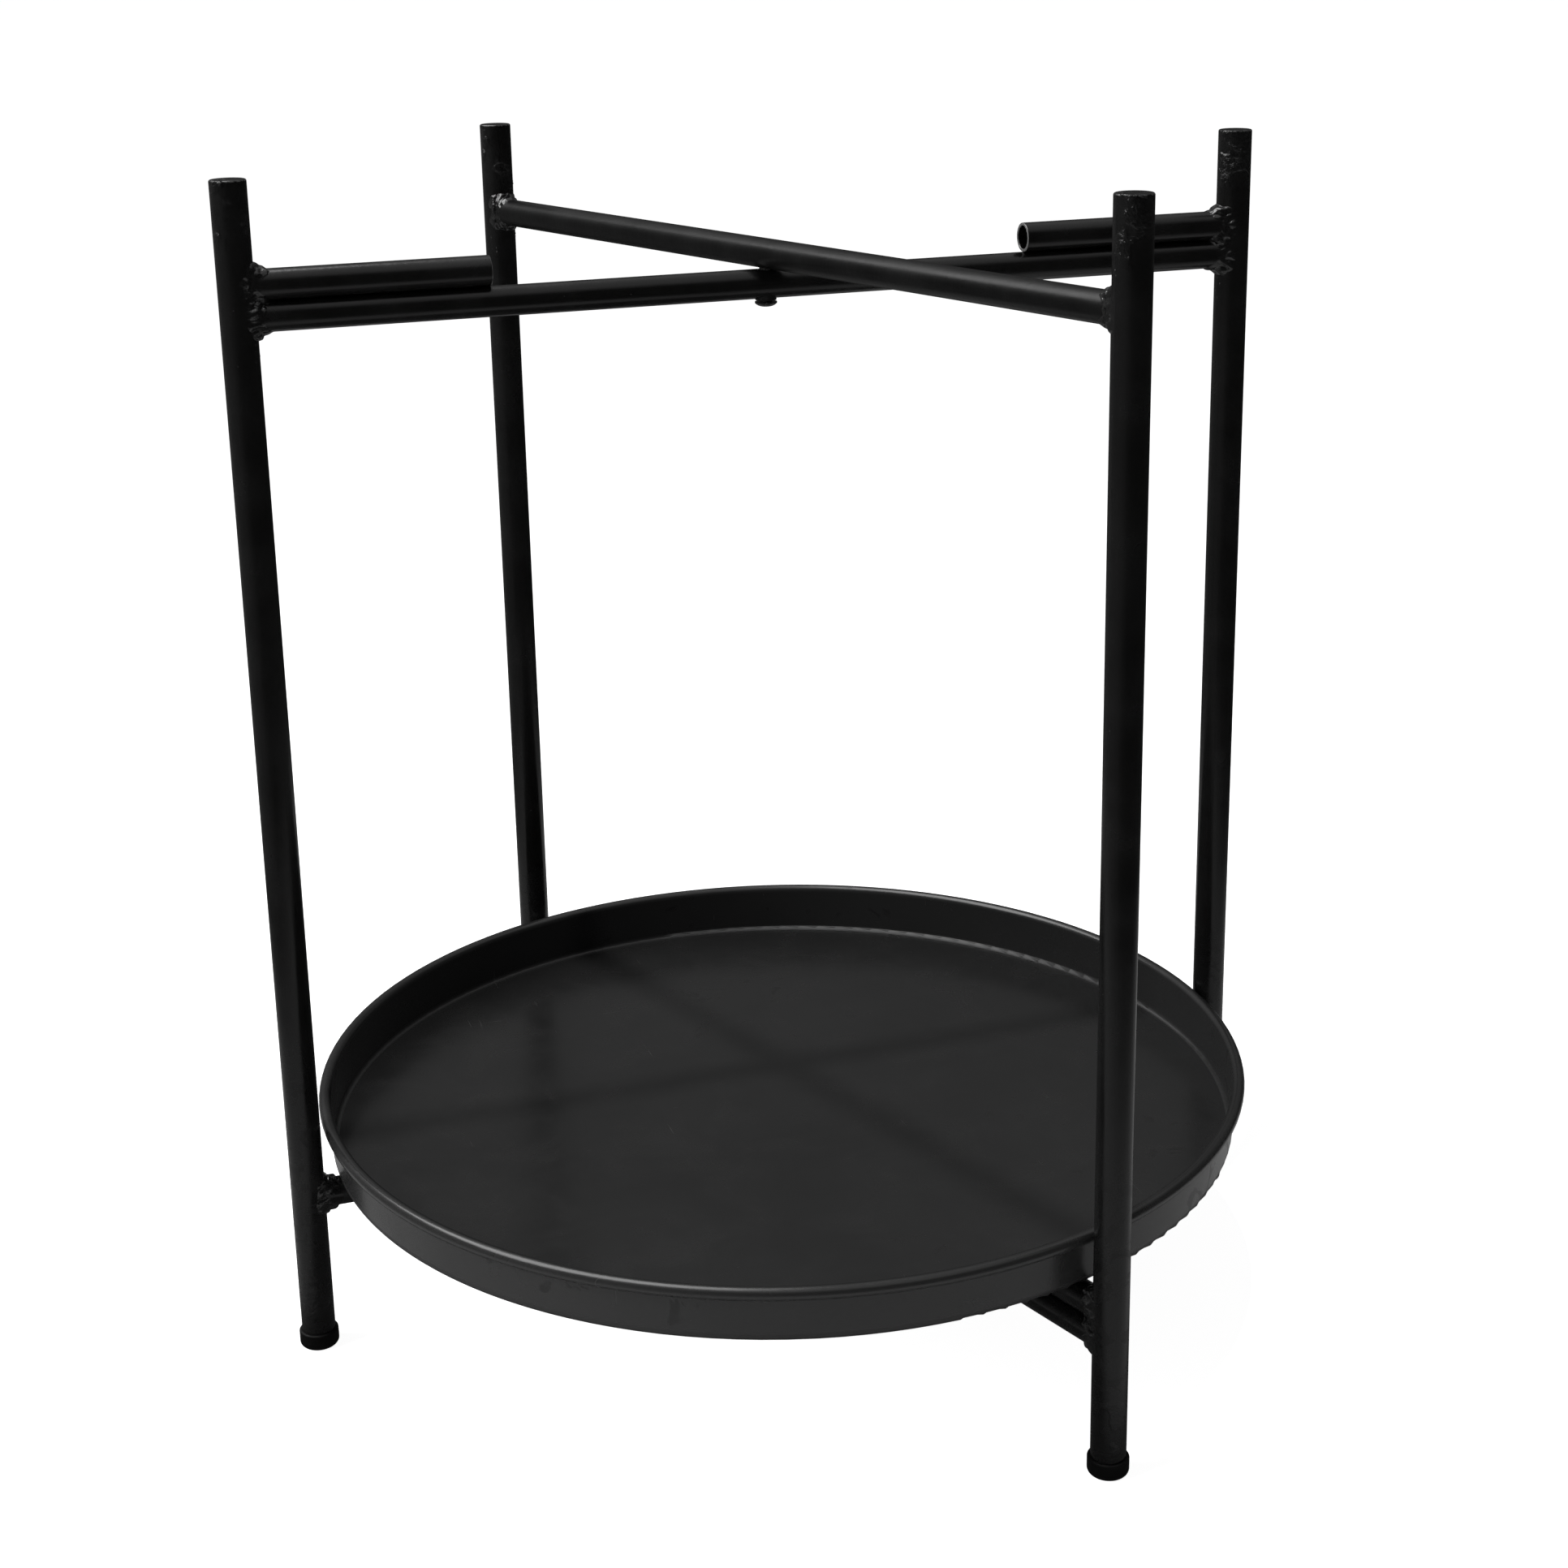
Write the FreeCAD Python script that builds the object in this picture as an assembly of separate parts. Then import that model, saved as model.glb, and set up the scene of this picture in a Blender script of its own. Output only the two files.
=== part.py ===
import FreeCAD, Part
import math
import os

from FreeCAD import Vector

# Folding side table: two welded frames of round tube cross on one vertical pivot axis,
# and a loose round tray stands on the lower cross, inside the four legs.
# Millimetres, +Z up. The origin is on the floor, on the pivot axis. Frame A lies along X.

# Driving dimensions
LEG_DIAMETER = 14.0
TUBE_WALL = 1.2
TABLE_HEIGHT = 489.0
LEG_CIRCLE_RADIUS = 209.0
CROSSING_ANGLE = 72.0
BAR_DIAMETER = 12.0
CROSSING_CLEARANCE = 0.1
TOP_CROSSING_HEIGHT = 437.3
BOTTOM_CROSSING_HEIGHT = 57.6
STUB_INNER_RADIUS = 112.0

# Worked out from them
LEG_RADIUS = LEG_DIAMETER / 2
BAR_RADIUS = BAR_DIAMETER / 2
BAR_BORE_RADIUS = BAR_RADIUS - TUBE_WALL
BAR_SPACING = BAR_DIAMETER + CROSSING_CLEARANCE
FRAME_A_ANGLE = 0.0
FRAME_B_ANGLE = 180.0 - CROSSING_ANGLE

# Leg and stub ends
STUB_END_ROUND = 0.4
CAP_THICKNESS = 2.0
CAP_EDGE_ROUND = 0.8
FOOT_RADIUS = 8.2
FOOT_HEIGHT = 7.5
FOOT_FLOOR = 2.5
FOOT_LOWER_ROUND = 2.3
FOOT_UPPER_ROUND = 0.8

# Pivot screw, nut and saddle washer
SHANK_RADIUS = 2.5
RUNNING_CLEARANCE = 0.06
HEAD_RADIUS = 4.5
HEAD_HEIGHT = 1.8
HEAD_EDGE_SHARE = 0.35
DOME_SHOULDER = 0.78
HEAD_NECK = 0.7
SOCKET_ACROSS_FLATS = 3.0
SOCKET_DEPTH = 1.2
SADDLE_RADIUS = 4.3
SADDLE_THICKNESS = 0.5
SADDLE_WINGS = 3.0
NUT_RADIUS = 4.0
NUT_HEIGHT = 5.0
SHANK_PAST_NUT = 1.4

# Tray
TRAY_RADIUS = 200.5
TRAY_HEIGHT = 24.0
TRAY_SHEET = 0.9
TRAY_CORNER_RADIUS = 2.5
BEAD_RADIUS = 2.7
BEAD_END_ANGLE = -120.0
TRAY_SEAT_GAP = 0.3

UP = Vector(0, 0, 1)
PLACE_TOLERANCE = 0.01


def radial(angle):
    """Unit vector in the floor plane, at an angle in degrees from +X."""
    return Vector(math.cos(math.radians(angle)), math.sin(math.radians(angle)), 0)


def at(angle, radius, height):
    """Point at a radius and an angle from the pivot axis, at a height above the floor."""
    return radial(angle) * radius + UP * height


def cylinder(radius, length, start, direction=UP):
    return Part.makeCylinder(radius, length, start, direction)


def tube(radius, length, start, direction=UP):
    """Round tube with the common wall thickness."""
    bore = cylinder(radius - TUBE_WALL, length, start, direction)
    return cylinder(radius, length, start, direction).cut(bore)


def leg_envelope(angle):
    """Solid cylinder that a leg fills, used to cope the tubes that are welded to it."""
    return cylinder(LEG_RADIUS, TABLE_HEIGHT, at(angle, LEG_CIRCLE_RADIUS, 0))


def leg(angle):
    length = TABLE_HEIGHT - CAP_THICKNESS - FOOT_FLOOR
    return tube(LEG_RADIUS, length, at(angle, LEG_CIRCLE_RADIUS, FOOT_FLOOR))


def round_edges_at(shape, height, radius):
    """Round the circular edges that lie at one height."""
    chosen = [
        edge for edge in shape.Edges
        if abs(edge.BoundBox.ZMin - height) < PLACE_TOLERANCE
        and abs(edge.BoundBox.ZMax - height) < PLACE_TOLERANCE
    ]
    return shape.makeFillet(radius, chosen)


def leg_cap(angle):
    """Flat disc that closes the top of a leg."""
    disc = cylinder(LEG_RADIUS, CAP_THICKNESS, at(angle, LEG_CIRCLE_RADIUS, TABLE_HEIGHT - CAP_THICKNESS))
    return round_edges_at(disc, TABLE_HEIGHT, CAP_EDGE_ROUND)


def foot_cap(angle):
    """Cup that is pushed over the lower end of a leg."""
    body = cylinder(FOOT_RADIUS, FOOT_HEIGHT, at(angle, LEG_CIRCLE_RADIUS, 0))
    body = round_edges_at(body, 0, FOOT_LOWER_ROUND)
    body = round_edges_at(body, FOOT_HEIGHT, FOOT_UPPER_ROUND)
    socket = cylinder(LEG_RADIUS, FOOT_HEIGHT, at(angle, LEG_CIRCLE_RADIUS, FOOT_FLOOR))
    return body.cut(socket)


def bar(angle, height, hole_from, hole_length):
    """Crossbar from leg to leg, with the pivot hole drilled over the given heights."""
    full = tube(BAR_RADIUS, 2 * LEG_CIRCLE_RADIUS, at(angle, -LEG_CIRCLE_RADIUS, height), radial(angle))
    pivot_hole = cylinder(SHANK_RADIUS + RUNNING_CLEARANCE, hole_length, UP * hole_from)
    return full.cut([leg_envelope(angle), leg_envelope(angle + 180), pivot_hole])


def lower_bar(angle, height):
    """The screw passes through both walls of the lower bar of a crossing."""
    return bar(angle, height, height - BAR_DIAMETER, 2 * BAR_DIAMETER)


def upper_bar(angle, height):
    """The screw enters the lower wall only, so nothing shows on top of the upper bar."""
    return bar(angle, height, height - BAR_DIAMETER, BAR_DIAMETER)


def stub(angle, bar_height):
    """Short tube that lies on a lower bar and brings its end level with the upper bar."""
    length = LEG_CIRCLE_RADIUS - STUB_INNER_RADIUS
    start = at(angle, STUB_INNER_RADIUS, bar_height + BAR_DIAMETER)
    full = tube(BAR_RADIUS, length, start, radial(angle))
    open_end = [
        edge for edge in full.Edges
        if isinstance(edge.Curve, Part.Circle)
        and (edge.Curve.Center - start).Length < PLACE_TOLERANCE
    ]
    return full.makeFillet(STUB_END_ROUND, open_end).cut(leg_envelope(angle))


def domed_head(top):
    """Low domed screw head that hangs below a height, with a hexagon socket."""
    dome_top = Vector(HEAD_RADIUS, 0, top - HEAD_HEIGHT * HEAD_EDGE_SHARE)
    dome_mid = Vector(HEAD_RADIUS * DOME_SHOULDER, 0, top - HEAD_HEIGHT * DOME_SHOULDER)
    dome_low = Vector(0, 0, top - HEAD_HEIGHT)
    corner = Vector(HEAD_RADIUS, 0, top)
    centre = Vector(0, 0, top)
    outline = Part.Wire([
        Part.LineSegment(centre, corner).toShape(),
        Part.LineSegment(corner, dome_top).toShape(),
        Part.Arc(dome_top, dome_mid, dome_low).toShape(),
        Part.LineSegment(dome_low, centre).toShape(),
    ])
    head = Part.Face(outline).revolve(Vector(0, 0, 0), UP, 360)
    return head.cut(hexagon_prism(SOCKET_ACROSS_FLATS, SOCKET_DEPTH, top - HEAD_HEIGHT))


def hexagon_prism(across_flats, depth, base):
    corner_radius = across_flats / 2 / math.cos(math.radians(30))
    corners = [at(60 * step, corner_radius, base) for step in range(7)]
    return Part.Face(Part.makePolygon(corners)).extrude(UP * depth)


def pivot_parts(lower_angle, upper_angle, lower_height):
    """Screw, nut and saddle washer of one crossing, from its lower bar's height.

    The screw goes up through the lower bar into a nut that sits inside the upper bar.
    """
    upper_height = lower_height + BAR_SPACING
    lower_crest = lower_height - BAR_RADIUS
    saddle_base = lower_crest - SADDLE_THICKNESS
    head_top = saddle_base - HEAD_NECK
    nut_base = upper_height - BAR_BORE_RADIUS
    shank_end = nut_base + NUT_HEIGHT + SHANK_PAST_NUT

    reach = 2 * BAR_DIAMETER
    lower_envelope = cylinder(BAR_RADIUS, 2 * reach, at(lower_angle, -reach, lower_height),
                              radial(lower_angle))
    upper_bore = cylinder(BAR_BORE_RADIUS, 2 * reach, at(upper_angle, -reach, upper_height),
                          radial(upper_angle))

    shank = cylinder(SHANK_RADIUS, shank_end - head_top, UP * head_top)
    screw = domed_head(head_top).fuse(shank).removeSplitter()

    nut_blank = cylinder(NUT_RADIUS, NUT_HEIGHT, UP * nut_base).common(upper_bore)
    nut = nut_blank.cut(cylinder(SHANK_RADIUS, 2 * NUT_HEIGHT, UP * (nut_base - NUT_HEIGHT / 2)))

    clearance_hole = cylinder(SHANK_RADIUS + RUNNING_CLEARANCE, 2 * reach,
                              UP * (lower_height - reach))
    saddle = cylinder(SADDLE_RADIUS, SADDLE_THICKNESS + SADDLE_WINGS, UP * saddle_base)
    saddle = saddle.cut([lower_envelope, clearance_hole])
    return {"screw": screw, "nut": nut, "washer": saddle}


def tray():
    """Pressed sheet dish: flat floor, rounded corner, upright wall and a rim curled outwards."""
    base = BOTTOM_CROSSING_HEIGHT + BAR_SPACING + BAR_RADIUS + TRAY_SEAT_GAP
    bead_radius_inside = BEAD_RADIUS - TRAY_SHEET
    bead_centre = Vector(TRAY_RADIUS - BEAD_RADIUS, 0, base + TRAY_HEIGHT - BEAD_RADIUS)
    wall_inside = bead_centre.x - BEAD_RADIUS
    wall_outside = bead_centre.x - bead_radius_inside
    corner = Vector(wall_outside - TRAY_CORNER_RADIUS, 0, base + TRAY_CORNER_RADIUS)

    def around(centre, radius, angle):
        turn = math.radians(angle)
        return centre + Vector(math.cos(turn), 0, math.sin(turn)) * radius

    def arc(centre, radius, first, last):
        middle = around(centre, radius, (first + last) / 2)
        return Part.Arc(around(centre, radius, first), middle, around(centre, radius, last)).toShape()

    def line(first, last):
        return Part.LineSegment(first, last).toShape()

    floor_low = Vector(0, 0, base)
    floor_high = Vector(0, 0, base + TRAY_SHEET)
    inner_corner_radius = TRAY_CORNER_RADIUS - TRAY_SHEET
    outline = Part.Wire([
        line(floor_low, around(corner, TRAY_CORNER_RADIUS, -90)),
        arc(corner, TRAY_CORNER_RADIUS, -90, 0),
        line(around(corner, TRAY_CORNER_RADIUS, 0), around(bead_centre, bead_radius_inside, 180)),
        arc(bead_centre, bead_radius_inside, 180, BEAD_END_ANGLE),
        line(around(bead_centre, bead_radius_inside, BEAD_END_ANGLE),
             around(bead_centre, BEAD_RADIUS, BEAD_END_ANGLE)),
        arc(bead_centre, BEAD_RADIUS, BEAD_END_ANGLE, 180),
        line(around(bead_centre, BEAD_RADIUS, 180), around(corner, inner_corner_radius, 0)),
        arc(corner, inner_corner_radius, 0, -90),
        line(around(corner, inner_corner_radius, -90), floor_high),
        line(floor_high, floor_low),
    ])
    return Part.Face(outline).revolve(Vector(0, 0, 0), UP, 360)


def build_nodes():
    """Every sub-part of the table, by node name."""
    corners = {
        "front_left": FRAME_A_ANGLE + 180,
        "back_right": FRAME_A_ANGLE,
        "back_left": FRAME_B_ANGLE,
        "front_right": FRAME_B_ANGLE + 180,
    }
    nodes = {
        "frame_a_top_bar": lower_bar(FRAME_A_ANGLE, TOP_CROSSING_HEIGHT),
        "frame_b_top_bar": upper_bar(FRAME_B_ANGLE, TOP_CROSSING_HEIGHT + BAR_SPACING),
        "frame_a_bottom_bar": upper_bar(FRAME_A_ANGLE, BOTTOM_CROSSING_HEIGHT + BAR_SPACING),
        "frame_b_bottom_bar": lower_bar(FRAME_B_ANGLE, BOTTOM_CROSSING_HEIGHT),
        "tray": tray(),
    }
    for corner, angle in corners.items():
        nodes["leg_" + corner] = leg(angle)
        nodes["leg_cap_" + corner] = leg_cap(angle)
        nodes["foot_cap_" + corner] = foot_cap(angle)
    for corner in ("front_left", "back_right"):
        nodes["stub_" + corner] = stub(corners[corner], TOP_CROSSING_HEIGHT)
    for corner in ("back_left", "front_right"):
        nodes["stub_" + corner] = stub(corners[corner], BOTTOM_CROSSING_HEIGHT)
    crossings = {
        "top_pivot_": pivot_parts(FRAME_A_ANGLE, FRAME_B_ANGLE, TOP_CROSSING_HEIGHT),
        "bottom_pivot_": pivot_parts(FRAME_B_ANGLE, FRAME_A_ANGLE, BOTTOM_CROSSING_HEIGHT),
    }
    for prefix, parts in crossings.items():
        for part_name, shape in parts.items():
            nodes[prefix + part_name] = shape
    return nodes


os.makedirs("parts", exist_ok=True)
for node_name, node_shape in build_nodes().items():
    solid = node_shape.Solids[0]
    solid.exportStep("parts/" + node_name + ".step")
    print(node_name, solid.isValid(), len(node_shape.Solids), round(solid.Volume, 1))
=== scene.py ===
import math
import random

import bmesh
import bpy
from mathutils import Matrix, Vector, noise


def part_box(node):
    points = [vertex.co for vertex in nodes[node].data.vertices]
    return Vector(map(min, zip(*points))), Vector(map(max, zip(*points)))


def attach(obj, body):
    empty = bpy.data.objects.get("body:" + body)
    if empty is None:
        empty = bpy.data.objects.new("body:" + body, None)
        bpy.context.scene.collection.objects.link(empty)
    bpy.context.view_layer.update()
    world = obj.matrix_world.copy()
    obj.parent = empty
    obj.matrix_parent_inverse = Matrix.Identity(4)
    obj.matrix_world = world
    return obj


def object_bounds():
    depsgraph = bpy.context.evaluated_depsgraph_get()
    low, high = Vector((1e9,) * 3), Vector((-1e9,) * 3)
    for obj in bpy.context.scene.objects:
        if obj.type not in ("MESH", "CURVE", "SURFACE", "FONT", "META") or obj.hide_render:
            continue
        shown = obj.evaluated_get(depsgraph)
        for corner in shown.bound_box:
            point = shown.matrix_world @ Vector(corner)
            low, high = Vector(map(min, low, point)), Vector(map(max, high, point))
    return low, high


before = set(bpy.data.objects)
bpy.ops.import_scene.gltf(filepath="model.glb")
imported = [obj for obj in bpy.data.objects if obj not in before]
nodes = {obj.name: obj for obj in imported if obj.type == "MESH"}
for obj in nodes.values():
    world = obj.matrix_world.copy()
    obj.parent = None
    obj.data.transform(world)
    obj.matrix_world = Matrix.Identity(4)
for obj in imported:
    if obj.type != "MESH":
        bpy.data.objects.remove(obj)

cad_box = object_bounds()

MM = 0.001
CORNER_BODY = {
    "front_left": "frame_a",
    "back_right": "frame_a",
    "back_left": "frame_b",
    "front_right": "frame_b",
}


def grey(level):
    return (level, level, level, 1)


def link(thing):
    bpy.context.scene.collection.objects.link(thing)


# ---------------------------------------------------------------- places read from the frame

def centre_of(node):
    low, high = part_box(node)
    return (low + high) / 2


def leg_radius(corner):
    low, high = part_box("leg_" + corner)
    return (high.x - low.x) / 2


def tube_radius(node):
    """Radius of a tube that lies level: half its height."""
    low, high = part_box(node)
    return (high.z - low.z) / 2


def leg_axis(corner):
    """Point on a leg's axis at floor height."""
    centre = centre_of("leg_" + corner)
    return Vector((centre.x, centre.y, 0))


# ---------------------------------------------------------------- camera, light and floor

# Angles are in degrees, lengths in metres. A bearing is counted from straight behind the
# object, as the camera sees it, towards the right.
CAMERA_HEADING = 18.26
CAMERA_DISTANCE = 1.0149
CAMERA_HEIGHT = 0.5811
CAMERA_SIDE = 0.0045
CAMERA_PITCH = 16.52
CAMERA_ROLL = 1.1
CAMERA_LENS = 58.0
CAMERA_SHIFT_Y = -0.08

# The backdrop that the camera sees, and the even light on the matt part of the paint
BACKDROP_STRENGTH = 1.0
FILL_STRENGTH = 0.07

# What the gloss reflects. A spread gives the cosines, between a direction and the middle of
# a surface, at which its glow starts and is full.
AMBIENT_GLOW = 0.02
HORIZON_SPREAD = (0.08, 0.34)
BACK_WALL_GLOW = 0.10
BACK_WALL_SPREAD = (0.15, 0.80)
CEILING_GLOW = 0.55
CEILING_SPREAD = (0.52, 0.90)
LEFT_GLOW = 0.11
LEFT_SPREAD = (-0.05, 0.90)
WINDOW_GLOW = 0.25
WINDOW_SPREAD = (0.80, 0.995)
WINDOW_BEARING = -52
WINDOW_ELEVATION = 46

OBJECT_MIDDLE = Vector((0, 0, 0.22))
LIGHT_DISTANCE = 2.0
KEY_BEARING = -84
KEY_ELEVATION = 61
KEY_SIZE = 1.75
KEY_RADIANCE = 5.2
FILL_BEARING = -105
FILL_ELEVATION = 25
FILL_SIZE = 1.2
FILL_RADIANCE = 7.0
LAMP_BEARING = 180
LAMP_ELEVATION = 85
LAMP_SIZE = 0.07
LAMP_RADIANCE = 1150

DISC_CORNERS = 96
FLOOR_RADIUS = 40
FLOOR_COLOUR = 0.8
FLOOR_GLOW = 0.95

# The light sheet round the feet, which only reflections see
SHEET_RADIUS = 0.75
# Under the tray the sheet's glow is turned down, a painted shadow of the tray
SHEET_SHADED_RADIUS = 0.215
SHEET_BRIGHT_RADIUS = 0.28
SHEET_FADE_START = 0.38
SHEET_SHADE = 0.12
SHEET_GLOW = 0.39


def heading_vectors():
    """Level unit vectors forwards and to the right, as the camera stands."""
    turn = math.radians(CAMERA_HEADING)
    forward = Vector((math.sin(turn), math.cos(turn), 0))
    right = Vector((math.cos(turn), -math.sin(turn), 0))
    return forward, right


def add_camera():
    forward, right = heading_vectors()
    data = bpy.data.cameras.new("camera")
    data.lens = CAMERA_LENS
    data.shift_y = CAMERA_SHIFT_Y
    camera = bpy.data.objects.new("camera", data)
    place = right * CAMERA_SIDE - forward * CAMERA_DISTANCE + Vector((0, 0, CAMERA_HEIGHT))
    turn = Matrix.Rotation(math.radians(-CAMERA_HEADING), 4, "Z")
    tilt = Matrix.Rotation(math.radians(90 - CAMERA_PITCH), 4, "X")
    roll = Matrix.Rotation(math.radians(-CAMERA_ROLL), 4, "Z")
    camera.matrix_world = Matrix.Translation(place) @ turn @ tilt @ roll
    link(camera)
    bpy.context.scene.camera = camera


def studio_direction(bearing, elevation):
    """Unit vector from the object towards a bearing and an elevation."""
    forward, right = heading_vectors()
    turn, rise = math.radians(bearing), math.radians(elevation)
    level = forward * math.cos(turn) + right * math.sin(turn)
    return level * math.cos(rise) + Vector((0, 0, math.sin(rise)))


def add_softbox(name, bearing, elevation, size, radiance):
    """Square light aimed at the middle of the object."""
    direction = studio_direction(bearing, elevation)
    data = bpy.data.lights.new(name, "AREA")
    data.shape = "SQUARE"
    data.size = size
    data.energy = radiance * math.pi * size ** 2
    light = bpy.data.objects.new(name, data)
    aim = (-direction).to_track_quat("-Z", "Y").to_matrix().to_4x4()
    light.matrix_world = Matrix.Translation(OBJECT_MIDDLE + direction * LIGHT_DISTANCE) @ aim
    link(light)
    return light


class World:
    """The studio's surroundings, as a node tree."""

    def __init__(self):
        self.world = bpy.data.worlds.new("studio")
        bpy.context.scene.world = self.world
        self.world.use_nodes = True
        self.tree = self.world.node_tree
        self.tree.nodes.clear()
        coordinates = self.tree.nodes.new("ShaderNodeTexCoord")
        self.direction = coordinates.outputs["Generated"]

    def towards(self, direction, spread):
        """Rises from 0 to 1 as the direction looked in turns towards the given one."""
        facing = self.tree.nodes.new("ShaderNodeVectorMath")
        facing.operation = "DOT_PRODUCT"
        facing.inputs[1].default_value = direction
        self.tree.links.new(self.direction, facing.inputs[0])
        rise = self.tree.nodes.new("ShaderNodeMapRange")
        rise.interpolation_type = "SMOOTHSTEP"
        rise.inputs["From Min"].default_value, rise.inputs["From Max"].default_value = spread
        self.tree.links.new(facing.outputs["Value"], rise.inputs["Value"])
        return rise.outputs["Result"]

    def math(self, operation, first, second):
        node = self.tree.nodes.new("ShaderNodeMath")
        node.operation = operation
        for socket, value in zip(node.inputs, (first, second)):
            if isinstance(value, float):
                socket.default_value = value
            else:
                self.tree.links.new(value, socket)
        return node.outputs["Value"]

    def background(self, strength):
        """White light of a strength, which is a number or an output."""
        node = self.tree.nodes.new("ShaderNodeBackground")
        node.inputs["Color"].default_value = grey(1)
        if isinstance(strength, float):
            node.inputs["Strength"].default_value = strength
        else:
            self.tree.links.new(strength, node.inputs["Strength"])
        return node.outputs["Background"]

    def choose(self, amount, first, second):
        node = self.tree.nodes.new("ShaderNodeMixShader")
        self.tree.links.new(amount, node.inputs["Fac"])
        self.tree.links.new(first, node.inputs[1])
        self.tree.links.new(second, node.inputs[2])
        return node.outputs["Shader"]


def add_world():
    """Weak even light, a white backdrop, and dark surroundings in reflections.

    In reflections the wall behind the object is dim, the ceiling is mid grey, a soft window
    stands behind on the left, and the side that the camera stands on is nearly black.
    """
    forward, right = heading_vectors()
    up = (0, 0, 1)
    studio = World()
    above_horizon = studio.towards(up, HORIZON_SPREAD)
    back_wall = studio.math("MULTIPLY", studio.towards(forward, BACK_WALL_SPREAD), above_horizon)
    window_direction = studio_direction(WINDOW_BEARING, WINDOW_ELEVATION)
    glow = studio.math("ADD", studio.math("MULTIPLY", back_wall, BACK_WALL_GLOW), AMBIENT_GLOW)
    for surface, strength in (
        (studio.towards(up, CEILING_SPREAD), CEILING_GLOW),
        (studio.towards(-right, LEFT_SPREAD), LEFT_GLOW),
        (studio.towards(window_direction, WINDOW_SPREAD), WINDOW_GLOW),
    ):
        glow = studio.math("ADD", glow, studio.math("MULTIPLY", surface, strength))
    rays = studio.tree.nodes.new("ShaderNodeLightPath")
    fill = studio.background(FILL_STRENGTH)
    lit = studio.choose(rays.outputs["Is Glossy Ray"], fill, studio.background(glow))
    seen = studio.choose(rays.outputs["Is Camera Ray"], lit, studio.background(BACKDROP_STRENGTH))
    output = studio.tree.nodes.new("ShaderNodeOutputWorld")
    studio.tree.links.new(seen, output.inputs["Surface"])


def add_disc(name, radius, colour, glow):
    """Flat round sheet on the floor plane, with a matt face that also glows."""
    mesh = bpy.data.meshes.new(name)
    shape = bmesh.new()
    bmesh.ops.create_circle(shape, cap_ends=True, segments=DISC_CORNERS, radius=radius)
    shape.to_mesh(mesh)
    shape.free()
    disc = bpy.data.objects.new(name, mesh)
    link(disc)
    material = bpy.data.materials.new(name)
    material.use_nodes = True
    shader = material.node_tree.nodes["Principled BSDF"]
    shader.inputs["Base Color"].default_value = grey(colour)
    shader.inputs["Roughness"].default_value = 1.0
    shader.inputs["Specular IOR Level"].default_value = 0.0
    shader.inputs["Emission Color"].default_value = grey(1)
    shader.inputs["Emission Strength"].default_value = glow
    mesh.materials.append(material)
    return disc


def ring_glow(material):
    """Glow in a ring round the feet: under the tray it is turned down as a painted shadow of the
    tray, and it fades out further off.
    """
    tree = material.node_tree
    place = tree.nodes.new("ShaderNodeTexCoord")
    distance = tree.nodes.new("ShaderNodeVectorMath")
    distance.operation = "LENGTH"
    tree.links.new(place.outputs["Object"], distance.inputs[0])
    total = tree.nodes.new("ShaderNodeMath")
    total.operation = "MULTIPLY"
    steps = (
        (SHEET_SHADED_RADIUS, SHEET_BRIGHT_RADIUS, SHEET_SHADE, 1.0),
        (SHEET_FADE_START, SHEET_RADIUS, SHEET_GLOW, 0.0),
    )
    for socket, (start, stop, first, last) in zip(total.inputs, steps):
        step = tree.nodes.new("ShaderNodeMapRange")
        step.interpolation_type = "SMOOTHSTEP"
        step.inputs["From Min"].default_value = start
        step.inputs["From Max"].default_value = stop
        step.inputs["To Min"].default_value = first
        step.inputs["To Max"].default_value = last
        tree.links.new(distance.outputs["Value"], step.inputs["Value"])
        tree.links.new(step.outputs["Result"], socket)
    shader = tree.nodes["Principled BSDF"]
    tree.links.new(total.outputs["Value"], shader.inputs["Emission Strength"])


def add_floor():
    """Wide pale floor, and the smaller light sheet that the object reflects in its place."""
    floor = add_disc("floor", FLOOR_RADIUS, FLOOR_COLOUR, FLOOR_GLOW)
    floor.visible_glossy = False
    sheet = add_disc("reflected_sheet", SHEET_RADIUS, 0.0, SHEET_GLOW)
    ring_glow(sheet.data.materials[0])
    sheet.visible_camera = False
    sheet.visible_diffuse = False
    sheet.visible_shadow = False
    sheet.visible_transmission = False


def add_lights():
    """A large key light high on the left, a fill low on the left and a small ceiling lamp.

    The key gives the gloss its highlights. The fill and the lamp light the matt part of the
    paint and stay out of its reflections.
    """
    key = add_softbox("key_softbox", KEY_BEARING, KEY_ELEVATION, KEY_SIZE, KEY_RADIANCE)
    key.visible_diffuse = False
    fill = add_softbox("fill_softbox", FILL_BEARING, FILL_ELEVATION, FILL_SIZE, FILL_RADIANCE)
    lamp = add_softbox("ceiling_lamp", LAMP_BEARING, LAMP_ELEVATION, LAMP_SIZE, LAMP_RADIANCE)
    for light in (fill, lamp):
        light.visible_glossy = False


# ---------------------------------------------------------------- materials

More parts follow.
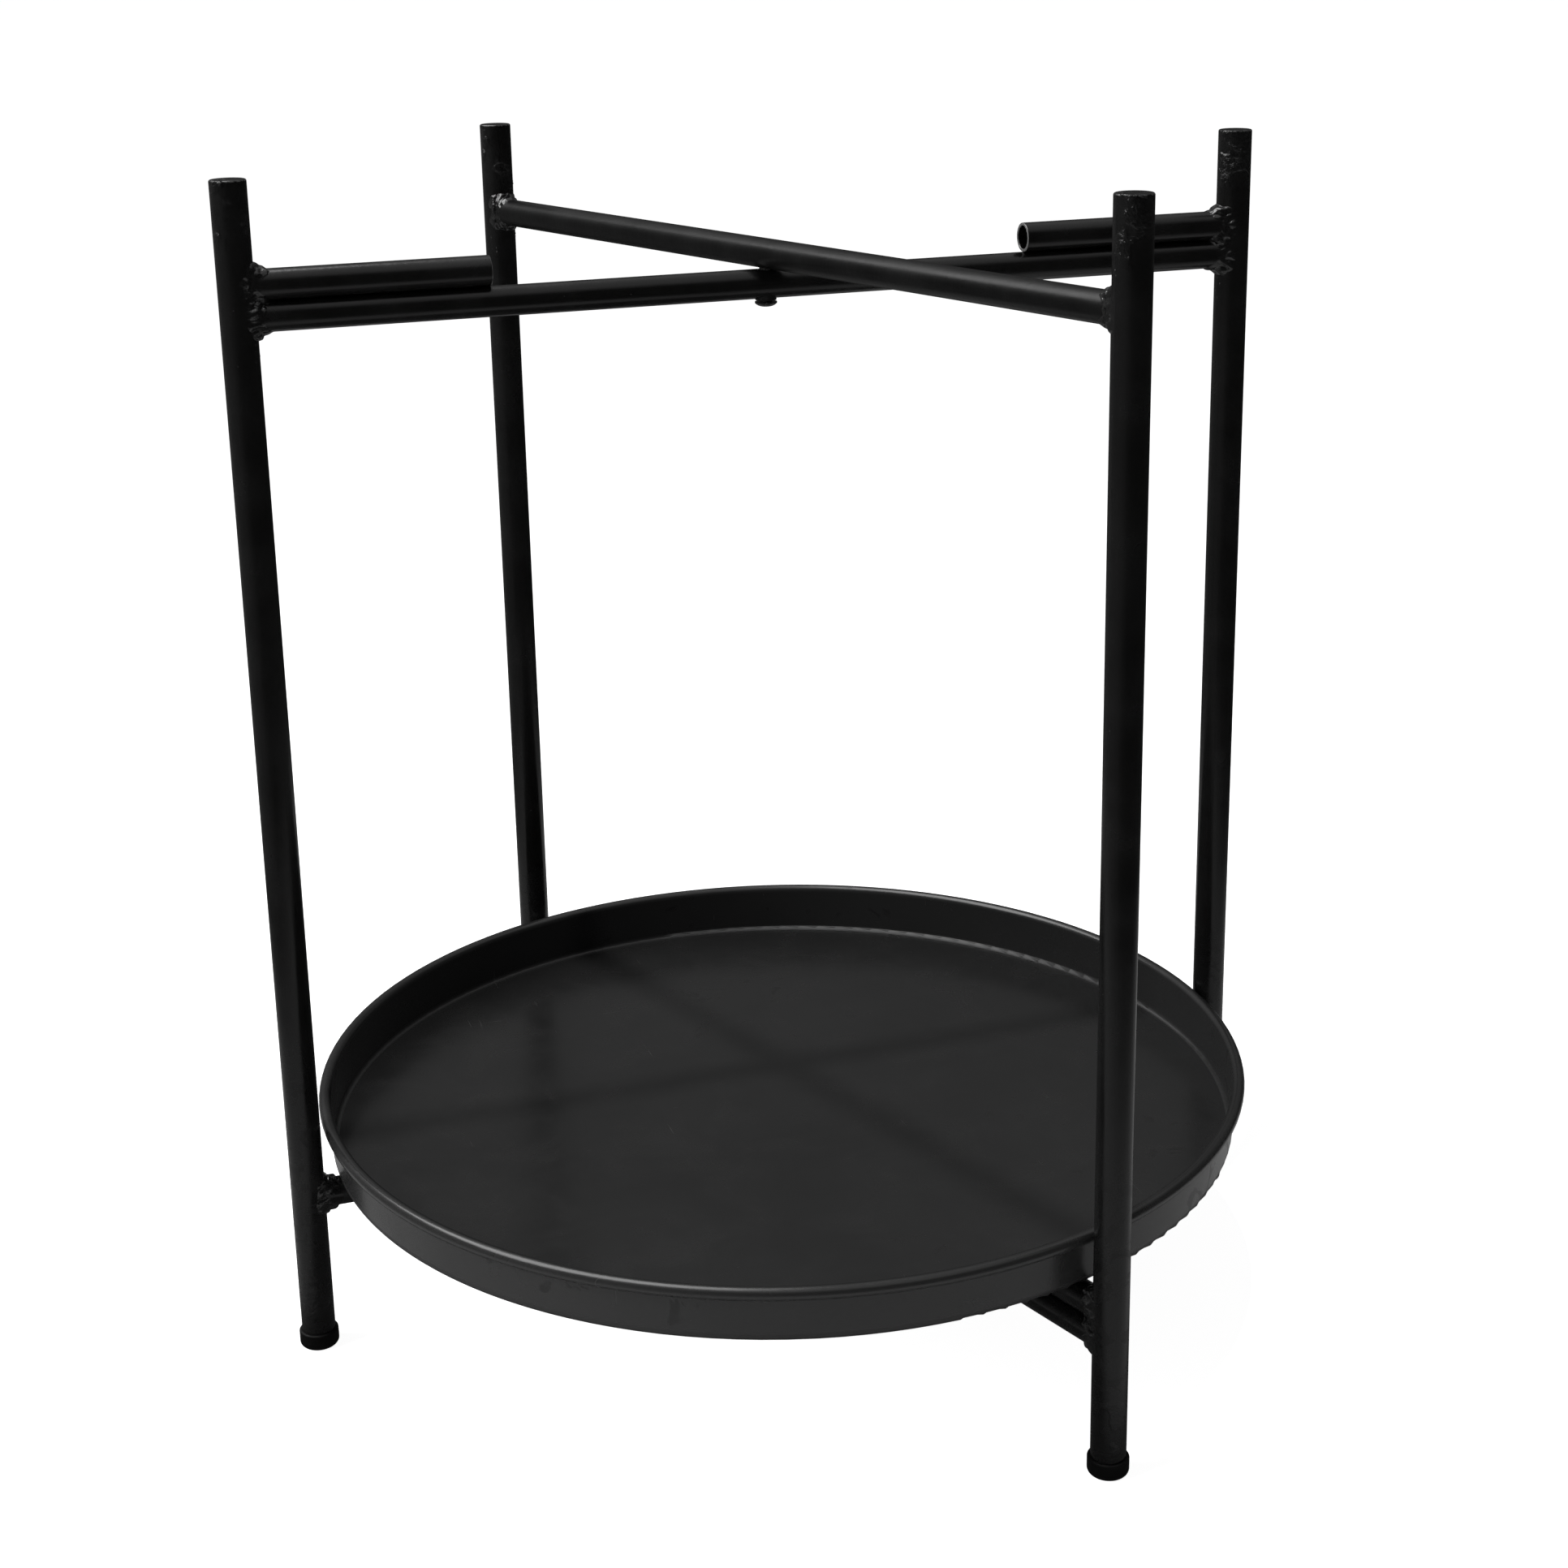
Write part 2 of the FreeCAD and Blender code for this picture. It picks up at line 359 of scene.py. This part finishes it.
class Nodes:
    """Builds a material's node tree in few words."""

    def __init__(self, name):
        self.material = bpy.data.materials.new(name)
        self.material.use_nodes = True
        self.tree = self.material.node_tree
        self.shader = self.tree.nodes["Principled BSDF"]
        self.place = self.new("ShaderNodeTexCoord").outputs["Object"]

    def new(self, kind, **settings):
        node = self.tree.nodes.new(kind)
        for key, value in settings.items():
            setattr(node, key, value)
        return node

    def feed(self, socket, value):
        """Link an output to a socket, or set the socket's own value."""
        if isinstance(value, bpy.types.NodeSocket):
            self.tree.links.new(value, socket)
        else:
            socket.default_value = value

    def math(self, operation, first, second=0.0):
        node = self.new("ShaderNodeMath", operation=operation)
        self.feed(node.inputs[0], first)
        self.feed(node.inputs[1], second)
        return node.outputs["Value"]

    def plus(self, value, extra, amount):
        """The value with so much of the extra added."""
        return self.math("ADD", value, self.math("MULTIPLY", extra, amount))

    def stretched(self, scale):
        node = self.new("ShaderNodeMapping")
        self.feed(node.inputs["Vector"], self.place)
        node.inputs["Scale"].default_value = scale
        return node.outputs["Vector"]

    def noise(self, scale, detail=2.0, roughness=0.5, vector=None, distortion=0.0):
        node = self.new("ShaderNodeTexNoise")
        self.feed(node.inputs["Vector"], vector or self.place)
        node.inputs["Scale"].default_value = scale
        node.inputs["Detail"].default_value = detail
        node.inputs["Roughness"].default_value = roughness
        node.inputs["Distortion"].default_value = distortion
        return node.outputs["Fac"]

    def specks(self, scale, size, share):
        """1 inside small round specks, 0 elsewhere; share is how many of the cells have one."""
        node = self.new("ShaderNodeTexVoronoi")
        self.feed(node.inputs["Vector"], self.place)
        node.inputs["Scale"].default_value = scale
        near = self.math("LESS_THAN", node.outputs["Distance"], size)
        pick = self.new("ShaderNodeSeparateColor")
        self.feed(pick.inputs["Color"], node.outputs["Color"])
        chosen = self.math("LESS_THAN", pick.outputs["Red"], share)
        return self.math("MULTIPLY", near, chosen)

    def ramp(self, value, low, high, to_low=0.0, to_high=1.0):
        node = self.new("ShaderNodeMapRange", interpolation_type="SMOOTHSTEP")
        self.feed(node.inputs["Value"], value)
        node.inputs["From Min"].default_value = low
        node.inputs["From Max"].default_value = high
        node.inputs["To Min"].default_value = to_low
        node.inputs["To Max"].default_value = to_high
        return node.outputs["Result"]

    def mix(self, amount, first, second, most=1.0):
        """First colour, going over to the second by the amount times most."""
        node = self.new("ShaderNodeMix", data_type="RGBA")
        self.feed(node.inputs["Factor"], self.math("MULTIPLY", amount, most))
        self.feed(node.inputs["A"], first)
        self.feed(node.inputs["B"], second)
        return node.outputs["Result"]

    def axis(self, name):
        node = self.new("ShaderNodeSeparateXYZ")
        self.feed(node.inputs[0], self.place)
        return node.outputs[name]

    def distance_from_axis(self):
        """Distance from the upright line through the middle of the table."""
        across, along = self.axis("X"), self.axis("Y")
        squares = self.math("ADD", self.math("POWER", across, 2.0), self.math("POWER", along, 2.0))
        return self.math("SQRT", squares)

    def bump(self, height, strength, distance, below=None):
        node = self.new("ShaderNodeBump")
        self.feed(node.inputs["Height"], height)
        node.inputs["Strength"].default_value = strength
        node.inputs["Distance"].default_value = distance
        if below is not None:
            self.feed(node.inputs["Normal"], below)
        return node.outputs["Normal"]

    def finish(self, colour, roughness, normal, specular):
        self.feed(self.shader.inputs["Base Color"], colour)
        self.feed(self.shader.inputs["Roughness"], roughness)
        self.feed(self.shader.inputs["Normal"], normal)
        self.shader.inputs["Specular IOR Level"].default_value = specular
        return self.material


# Noise scales are in cells per metre, and a speck's size is a share of its cell. Colours are
# grey levels. Pairs are the ends of a range.

PAINT_COLOUR = (0.0028, 0.0046)
PAINT_ROUGHNESS = (0.20, 0.29)
PAINT_SPECULAR = 0.42
SMEAR_SCALE = 38
RUN_SCALE = (420, 420, 60)
RUN_DEPTH = 0.30 * MM
NIB_SCALE = 260
NIB_SIZE = 0.05
NIB_SHARE = 0.12
NIB_COLOUR = 0.05
NIB_HEIGHT = 0.08 * MM
PEEL_SCALE = 700
PEEL_DEPTH = 0.10 * MM
FINE_PEEL_SCALE = 2600
FINE_PEEL_DEPTH = 0.05 * MM
WRINKLE_SCALE = 300
WRINKLE_PATCH_SCALE = 75
WRINKLE_DEPTH = 1.1 * MM
WRINKLED_BELOW_TOP = (29 * MM, 19 * MM)
WRINKLED_ABOVE_FLOOR = (50 * MM, 15 * MM)
DULL_PATCH_SCALE = 85
DULL_ABOVE_FLOOR = (150 * MM, 90 * MM)
# Painted highlights: paler broken stretches along the caps' upward-rounded edges, and a paler ring
# at the stubs' open inner ends
EDGE_HIGHLIGHT_BREAK_SCALE = 900
EDGE_HIGHLIGHT_COLOUR = 0.10
END_HIGHLIGHT_COLOUR = 0.14
STUB_END_HIGHLIGHT_RING = 0.35 * MM
DULL_BAR_ROUGHER = 0.08
DULL_BAR_SPECULAR = 0.18


def wrinkled_ends(build):
    """1 in patches at the leg tops and, more weakly, at the feet."""
    table_top = cad_box[1].z
    first, full = (table_top - depth for depth in WRINKLED_BELOW_TOP)
    height = build.axis("Z")
    leg_top = build.ramp(height, first, full)
    leg_foot = build.ramp(height, *WRINKLED_ABOVE_FLOOR)
    patches = build.ramp(build.noise(WRINKLE_PATCH_SCALE, detail=2), 0.50, 0.58)
    ends = build.math("MAXIMUM", leg_top, build.math("MULTIPLY", leg_foot, 0.5))
    return build.math("MULTIPLY", ends, patches)


def dull_feet(build):
    """1 in patches low on the legs."""
    low_leg = build.ramp(build.axis("Z"), *DULL_ABOVE_FLOOR)
    patches = build.noise(DULL_PATCH_SCALE, detail=4, roughness=0.6, distortion=1.6)
    return build.math("MULTIPLY", build.ramp(patches, 0.52, 0.56), low_leg)


def edge_highlight_mask(build):
    """1 in broken stretches along edges that are rounded upwards, where a painted highlight goes.
    """
    facing = build.new("ShaderNodeSeparateXYZ")
    build.feed(facing.inputs[0], build.new("ShaderNodeNewGeometry").outputs["Normal"])
    upward = facing.outputs["Z"]
    rounded = build.math("MULTIPLY", upward, build.math("SUBTRACT", 1.0, upward))
    broken = build.ramp(build.noise(EDGE_HIGHLIGHT_BREAK_SCALE, detail=3), 0.45, 0.60)
    return build.math("MULTIPLY", build.ramp(rounded, 0.12, 0.24), broken)


def semi_gloss_paint(name, dulled=0.0, specular=PAINT_SPECULAR, painted_edge_highlights=False, painted_highlight_within=None):
    """Black paint on welded tube: orange peel, sags and wrinkles, dust nibs and dull smears.

    Paler colour can be painted on as a painted highlight: in broken stretches along a cap's
    upward-rounded edges, and on a stub's open end within the given distance of the middle of the
    table.
    """
    build = Nodes(name)
    smears = build.noise(SMEAR_SCALE, detail=4, roughness=0.6)
    runs = build.noise(1, detail=3, vector=build.stretched(RUN_SCALE))
    nibs = build.specks(NIB_SCALE, NIB_SIZE, NIB_SHARE)
    wrinkled = wrinkled_ends(build)

    darker, paler = PAINT_COLOUR
    colour = build.mix(build.ramp(smears, 0.35, 0.7), grey(darker), grey(paler))
    colour = build.mix(nibs, colour, grey(NIB_COLOUR), most=0.3)
    # Painted highlight: paler colour in broken stretches along edges that are rounded upwards
    if painted_edge_highlights:
        colour = build.mix(edge_highlight_mask(build), colour, grey(EDGE_HIGHLIGHT_COLOUR), most=0.5)
    # Painted highlight: paler colour on a stub's open inner end, near the middle of the table
    if painted_highlight_within is not None:
        inner_end = build.math("LESS_THAN", build.distance_from_axis(), painted_highlight_within)
        colour = build.mix(inner_end, colour, grey(END_HIGHLIGHT_COLOUR), most=0.8)

    glossier, rougher = PAINT_ROUGHNESS
    roughness = build.ramp(smears, 0.3, 0.75, glossier + dulled, rougher + dulled)
    roughness = build.plus(roughness, nibs, 0.2)
    roughness = build.plus(roughness, wrinkled, -0.10)
    roughness = build.plus(roughness, dull_feet(build), 0.16)

    wrinkles = build.noise(WRINKLE_SCALE, detail=3, roughness=0.6, distortion=1.6)
    normal = build.bump(runs, 0.22, RUN_DEPTH)
    normal = build.bump(build.noise(PEEL_SCALE, detail=2), 0.16, PEEL_DEPTH, normal)
    normal = build.bump(build.noise(FINE_PEEL_SCALE, detail=1), 0.05, FINE_PEEL_DEPTH, normal)
    normal = build.bump(build.math("MULTIPLY", wrinkles, wrinkled), 0.9, WRINKLE_DEPTH, normal)
    normal = build.bump(nibs, 0.35, NIB_HEIGHT, normal)
    return build.finish(colour, roughness, normal, specular)


POOLED_COLOUR = (0.0028, 0.0050)
POOLED_ROUGHNESS = (0.04, 0.09)
POOLED_SPECULAR = 0.8
POOL_SCALE = 160
DENT_SCALE = 520
DENT_DEPTH = 0.6 * MM


def weld_gloss_paint():
    """The same paint pooled over weld metal: glossy, with small dents."""
    build = Nodes("weld_paint")
    pools = build.noise(POOL_SCALE, detail=2)
    dents = build.noise(DENT_SCALE, detail=2, roughness=0.5, distortion=0.8)
    darker, paler = POOLED_COLOUR
    colour = build.mix(pools, grey(darker), grey(paler))
    roughness = build.ramp(pools, 0.35, 0.65, *POOLED_ROUGHNESS)
    normal = build.bump(dents, 0.5, DENT_DEPTH)
    return build.finish(colour, roughness, normal, POOLED_SPECULAR)


TRAY_COLOUR = (0.0150, 0.0185)
TRAY_ROUGHNESS = (0.22, 0.29)
TRAY_SPECULAR = 0.50
CLOUD_SCALE = 9
SMUDGE_SCALE = 30
TEXTURE_SCALE = 1500
TEXTURE_DEPTH = 0.04 * MM
LONG_MARK_SCALE = (26, 900, 26)
CROSS_MARK_SCALE = (800, 34, 34)
SCRATCH_COLOUR = 0.07
SCRATCH_DEPTH = 0.03 * MM
TRAY_NIB_SCALE = 110
TRAY_NIB_SIZE = 0.07
TRAY_NIB_SHARE = 0.05
TRAY_NIB_COLOUR = 0.006
TRAY_NIB_HEIGHT = 0.06 * MM
RUBBED_SCALE = 52
RUBBED_COLOUR = 0.0050
CORNER_HEIGHT = 3.5 * MM
CORNER_INSET = 7.5 * MM
CORNER_BLEND = 0.5 * MM


def tray_corner(build):
    """1 on the rounded corner between the tray's floor and its wall."""
    low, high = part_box("tray")
    corner_top = low.z + CORNER_HEIGHT
    flat_radius = high.x - CORNER_INSET
    near_floor = build.ramp(build.axis("Z"), corner_top, corner_top - CORNER_BLEND)
    near_wall = build.ramp(build.distance_from_axis(), flat_radius, flat_radius + CORNER_BLEND)
    return build.math("MULTIPLY", near_floor, near_wall)


def satin_tray_paint():
    """Satin black on pressed sheet: fine texture, faint scratches, rubbed patches and dust."""
    build = Nodes("satin_tray_paint")
    cloud = build.noise(CLOUD_SCALE, detail=3, roughness=0.55)
    smudge = build.noise(SMUDGE_SCALE, detail=4, roughness=0.65, distortion=0.6)
    long_marks = build.noise(1, detail=2, vector=build.stretched(LONG_MARK_SCALE))
    cross_marks = build.noise(1, detail=2, vector=build.stretched(CROSS_MARK_SCALE))
    marks = build.math(
        "MAXIMUM",
        build.ramp(long_marks, 0.735, 0.76),
        build.ramp(cross_marks, 0.74, 0.765),
    )
    scratch = build.math("MULTIPLY", marks, build.ramp(smudge, 0.48, 0.62))
    nibs = build.specks(TRAY_NIB_SCALE, TRAY_NIB_SIZE, TRAY_NIB_SHARE)
    patches = build.noise(RUBBED_SCALE, detail=3, roughness=0.6, distortion=1.4)
    rubbed = build.math("MULTIPLY", build.ramp(patches, 0.635, 0.65), build.ramp(cloud, 0.50, 0.60))

    darker, paler = TRAY_COLOUR
    colour = build.mix(build.ramp(cloud, 0.35, 0.68), grey(darker), grey(paler))
    colour = build.mix(rubbed, colour, grey(RUBBED_COLOUR), most=0.5)
    colour = build.mix(scratch, colour, grey(SCRATCH_COLOUR), most=0.25)
    colour = build.mix(nibs, colour, grey(TRAY_NIB_COLOUR), most=0.5)

    roughness = build.ramp(smudge, 0.3, 0.75, *TRAY_ROUGHNESS)
    roughness = build.plus(roughness, rubbed, 0.08)
    roughness = build.plus(roughness, scratch, 0.1)
    roughness = build.plus(roughness, tray_corner(build), 0.2)

    normal = build.bump(build.noise(TEXTURE_SCALE, detail=2), 0.10, TEXTURE_DEPTH)
    normal = build.bump(scratch, 0.2, SCRATCH_DEPTH, normal)
    normal = build.bump(nibs, 0.3, TRAY_NIB_HEIGHT, normal)
    return build.finish(colour, roughness, normal, TRAY_SPECULAR)


GRAIN_SCALE = 2400
GRAIN_DEPTH = 0.06 * MM
SCUFF_SCALE = (420, 420, 900)
SCUFF_HEIGHT = 0.05 * MM
SCUFF_PALER = 2.2
FOOT_COLOUR = 0.0015
FOOT_ROUGHNESS = (0.48, 0.62)
FOOT_SPECULAR = 0.18
NYLON_COLOUR = 0.004
NYLON_ROUGHNESS = (0.35, 0.5)
NYLON_SPECULAR = 0.4


def moulded_plastic(name, level, roughness_range, specular):
    """Black moulded plastic: fine spark-eroded grain, flow streaks and scuffed high spots."""
    build = Nodes(name)
    grain = build.noise(GRAIN_SCALE, detail=2)
    scuffs = build.noise(1, detail=4, roughness=0.7, vector=build.stretched(SCUFF_SCALE))
    rubbed = build.ramp(scuffs, 0.55, 0.7)
    colour = build.mix(rubbed, grey(level), grey(level * SCUFF_PALER))
    roughness = build.ramp(scuffs, 0.3, 0.7, *roughness_range)
    normal = build.bump(grain, 0.25, GRAIN_DEPTH)
    normal = build.bump(rubbed, 0.2, SCUFF_HEIGHT, normal)
    return build.finish(colour, roughness, normal, specular)


STEEL_COLOUR = (0.022, 0.075)
STEEL_ROUGHNESS = (0.18, 0.34)
STEEL_METALLIC = 0.65
STEEL_SPECULAR = 0.5
TURNED_SCALE = (300, 300, 9000)
TURNED_DEPTH = 0.03 * MM
SPOT_SCALE = 700


def blackened_steel():
    """Blackened screw steel with fine turned marks and brighter rubbed spots."""
    build = Nodes("blackened_steel")
    turned = build.noise(1, detail=2, vector=build.stretched(TURNED_SCALE))
    spots = build.noise(SPOT_SCALE, detail=3)
    darker, paler = STEEL_COLOUR
    colour = build.mix(build.ramp(spots, 0.5, 0.68), grey(darker), grey(paler))
    roughness = build.ramp(spots, 0.3, 0.7, *STEEL_ROUGHNESS)
    normal = build.bump(turned, 0.2, TURNED_DEPTH)
    build.shader.inputs["Metallic"].default_value = STEEL_METALLIC
    return build.finish(colour, roughness, normal, STEEL_SPECULAR)


def dress(node, material):
    """Give a CAD node its material."""
    nodes[node].data.materials.clear()
    nodes[node].data.materials.append(material)


def dress_nodes():
    paint = semi_gloss_paint("semi_gloss_paint")
    dull_paint = semi_gloss_paint("dull_paint", DULL_BAR_ROUGHER, DULL_BAR_SPECULAR)
    # The caps' paint carries a painted highlight along its upward-rounded edges
    cap_paint = semi_gloss_paint("cap_paint", painted_edge_highlights=True)
    # The stubs' paint carries a painted highlight: a paler ring at their open inner ends
    stub_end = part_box("stub_back_right")[0].x
    stub_paint = semi_gloss_paint("stub_paint", painted_highlight_within=stub_end + STUB_END_HIGHLIGHT_RING)
    foot = moulded_plastic("foot_plastic", FOOT_COLOUR, FOOT_ROUGHNESS, FOOT_SPECULAR)
    nylon = moulded_plastic("washer_nylon", NYLON_COLOUR, NYLON_ROUGHNESS, NYLON_SPECULAR)
    steel = blackened_steel()
    for node in nodes:
        if node == "tray":
            dress(node, satin_tray_paint())
        elif node.startswith("leg_cap"):
            dress(node, cap_paint)
        elif node == "frame_b_top_bar":
            dress(node, dull_paint)
        elif node.startswith("stub"):
            dress(node, stub_paint)
        elif node.startswith("foot_cap"):
            dress(node, foot)
        elif node.endswith(("screw", "nut")):
            dress(node, steel)
        elif node.endswith("washer"):
            dress(node, nylon)
        else:
            dress(node, paint)


# ---------------------------------------------------------------- weld beads

WELD_STEPS_AROUND = 160
WELD_STEPS_ACROSS = 17
WELD_REACH = 2.9 * MM
WELD_UNEVEN = 1.2 * MM
WELD_UNEVEN_SCALE = 2.2
WELD_ALONG_TUBE = 2.1
WELD_EXTRA_SIDEWAYS = 0.6
WELD_HOLLOW = 0.62
WELD_CROWN = 0.7
WELD_LUMP = 2.4 * MM
WELD_LUMP_SCALE = 240
WELD_GRAIN = 0.15 * MM
WELD_GRAIN_SCALE = 850
WELD_SUNK = 0.3 * MM
WELD_ROOT = 0.5 * MM

# How far each bead moves on in the noise, so that no two are alike
WELD_NOISE_STEP = 3.1
WELD_UNEVEN_STEP = 7.3

SPATTER_COUNT = 9
SPATTER_TURN = 1.5
SPATTER_RISE_MM = (9, 19)
SPATTER_RADIUS_MM = (0.25, 0.6)
SPATTER_SUNK = 0.1
SPATTER_FLAT = 0.45
SPATTER_WOBBLE = 0.25
SPATTER_WOBBLE_SCALE = 2600
SPATTER_STRETCH = (1.0, 1.04)


def mesh_from(name, vertices, faces, material):
    """Closed mesh object with smooth shading and outward normals."""
    mesh = bpy.data.meshes.new(name)
    mesh.from_pydata([tuple(v) for v in vertices], [], faces)
    shape = bmesh.new()
    shape.from_mesh(mesh)
    bmesh.ops.recalc_face_normals(shape, faces=shape.faces)
    shape.to_mesh(mesh)
    shape.free()
    mesh.shade_smooth()
    mesh.materials.append(material)
    piece = bpy.data.objects.new(name, mesh)
    link(piece)
    return piece


def ring_faces(rings, loop):
    """Quads that join rings of loop points each, closed both ways round."""
    faces = []
    for i in range(rings):
        for j in range(loop):
            after, beside = (i + 1) % rings, (j + 1) % loop
            faces.append((i * loop + j, i * loop + beside, after * loop + beside, after * loop + j))
    return faces


def weld_bead(name, body, corner, tube_node, material, seed):
    """Lumpy fillet round the end of a level tube, where it meets the inner side of a leg.

    The section runs from the tube's surface, over a hollow fillet, to the leg's surface, and
    closes inside the metal. Rounded blobs with sharp creases between them cover it.
    """
    axis = leg_axis(corner)
    outward = axis.normalized()
    side = Vector((-outward.y, outward.x, 0))
    up = Vector((0, 0, 1))
    height = centre_of(tube_node).z
    tube = tube_radius(tube_node)
    leg = leg_radius(corner)
    own_place = Vector((seed * WELD_NOISE_STEP, 0, 0))

    def on_leg(turn, extra, depth):
        """Point of the leg, so far away from the joint line and so far inside the surface."""
        sideways = math.asin(tube * math.cos(turn) / leg) + extra * math.cos(turn) / leg
        shell = leg - depth
        across = side * shell * math.sin(sideways) - outward * shell * math.cos(sideways)
        return axis + across + up * (height + (tube + extra) * math.sin(turn))

    vertices = []
    for i in range(WELD_STEPS_AROUND):
        turn = 2 * math.pi * i / WELD_STEPS_AROUND
        circle = Vector((math.cos(turn), math.sin(turn), seed * WELD_UNEVEN_STEP))
        reach = WELD_REACH + WELD_UNEVEN * noise.noise(circle * WELD_UNEVEN_SCALE)
        from_axis = side * math.cos(turn) + up * math.sin(turn)
        root = on_leg(turn, 0, 0)
        tube_toe = root - outward * reach * WELD_ALONG_TUBE - from_axis * WELD_SUNK
        sideways_reach = reach * (1 + WELD_EXTRA_SIDEWAYS * abs(math.cos(turn)))
        leg_toe = on_leg(turn, sideways_reach, WELD_SUNK)
        lift = (from_axis - outward).normalized()
        for j in range(WELD_STEPS_ACROSS):
            t = j / (WELD_STEPS_ACROSS - 1)
            hollow = tube_toe * (1 - t) ** 2 + root * 2 * t * (1 - t) + leg_toe * t ** 2
            straight = tube_toe * (1 - t) + leg_toe * t
            point = hollow * WELD_HOLLOW + straight * (1 - WELD_HOLLOW)
            place = point + own_place
            blobs = abs(noise.noise(place * WELD_LUMP_SCALE)) * WELD_LUMP
            grain = abs(noise.noise(place * WELD_GRAIN_SCALE)) * WELD_GRAIN
            crown = math.sin(math.pi * t) ** WELD_CROWN
            vertices.append(point + lift * crown * (blobs + grain))
        vertices.append(root - from_axis * WELD_ROOT + outward * WELD_ROOT)
    faces = ring_faces(WELD_STEPS_AROUND, WELD_STEPS_ACROSS + 1)
    piece = mesh_from(name, vertices, faces, material)
    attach(piece, body)
    return piece


def weld_spatter(name, body, corner, height, material, seed):
    """Small round droplets of weld metal on a leg near its joints."""
    draw = random.Random(seed)
    axis = leg_axis(corner)
    inward = math.atan2(-axis.y, -axis.x)
    leg = leg_radius(corner)
    shape = bmesh.new()
    for _ in range(SPATTER_COUNT):
        turn = inward + draw.uniform(-SPATTER_TURN, SPATTER_TURN)
        rise = height + draw.choice((-1, 1)) * draw.uniform(*SPATTER_RISE_MM) * MM
        size = draw.uniform(*SPATTER_RADIUS_MM) * MM
        out = Vector((math.cos(turn), math.sin(turn), 0))
        place = axis + out * (leg - SPATTER_SUNK * size) + Vector((0, 0, rise))
        drop = bmesh.ops.create_icosphere(shape, subdivisions=2, radius=size)
        for vertex in drop["verts"]:
            bumps = noise.noise(vertex.co * SPATTER_WOBBLE_SCALE + Vector((seed, 0, 0)))
            local = vertex.co * (1 + SPATTER_WOBBLE * bumps)
            local.z *= draw.uniform(*SPATTER_STRETCH)
            vertex.co = place + local - out * local.dot(out) * SPATTER_FLAT
    mesh = bpy.data.meshes.new(name)
    shape.to_mesh(mesh)
    shape.free()
    mesh.shade_smooth()
    mesh.materials.append(material)
    piece = bpy.data.objects.new(name, mesh)
    link(piece)
    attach(piece, body)


def add_welds():
    weld_paint = weld_gloss_paint()
    seed = 0
    for corner, body in CORNER_BODY.items():
        for tube_node in (body + "_top_bar", body + "_bottom_bar", "stub_" + corner):
            seed += 1
            weld_bead(f"weld_{corner}_{tube_node}", body, corner, tube_node, weld_paint, seed)
        for level in ("top", "bottom"):
            seed += 1
            height = centre_of(f"{body}_{level}_bar").z
            weld_spatter(f"spatter_{corner}_{level}", body, corner, height, weld_paint, seed)


# ---------------------------------------------------------------- the scene

bpy.context.scene.view_settings.view_transform = "Standard"
add_camera()
add_world()
add_lights()
add_floor()
dress_nodes()
add_welds()
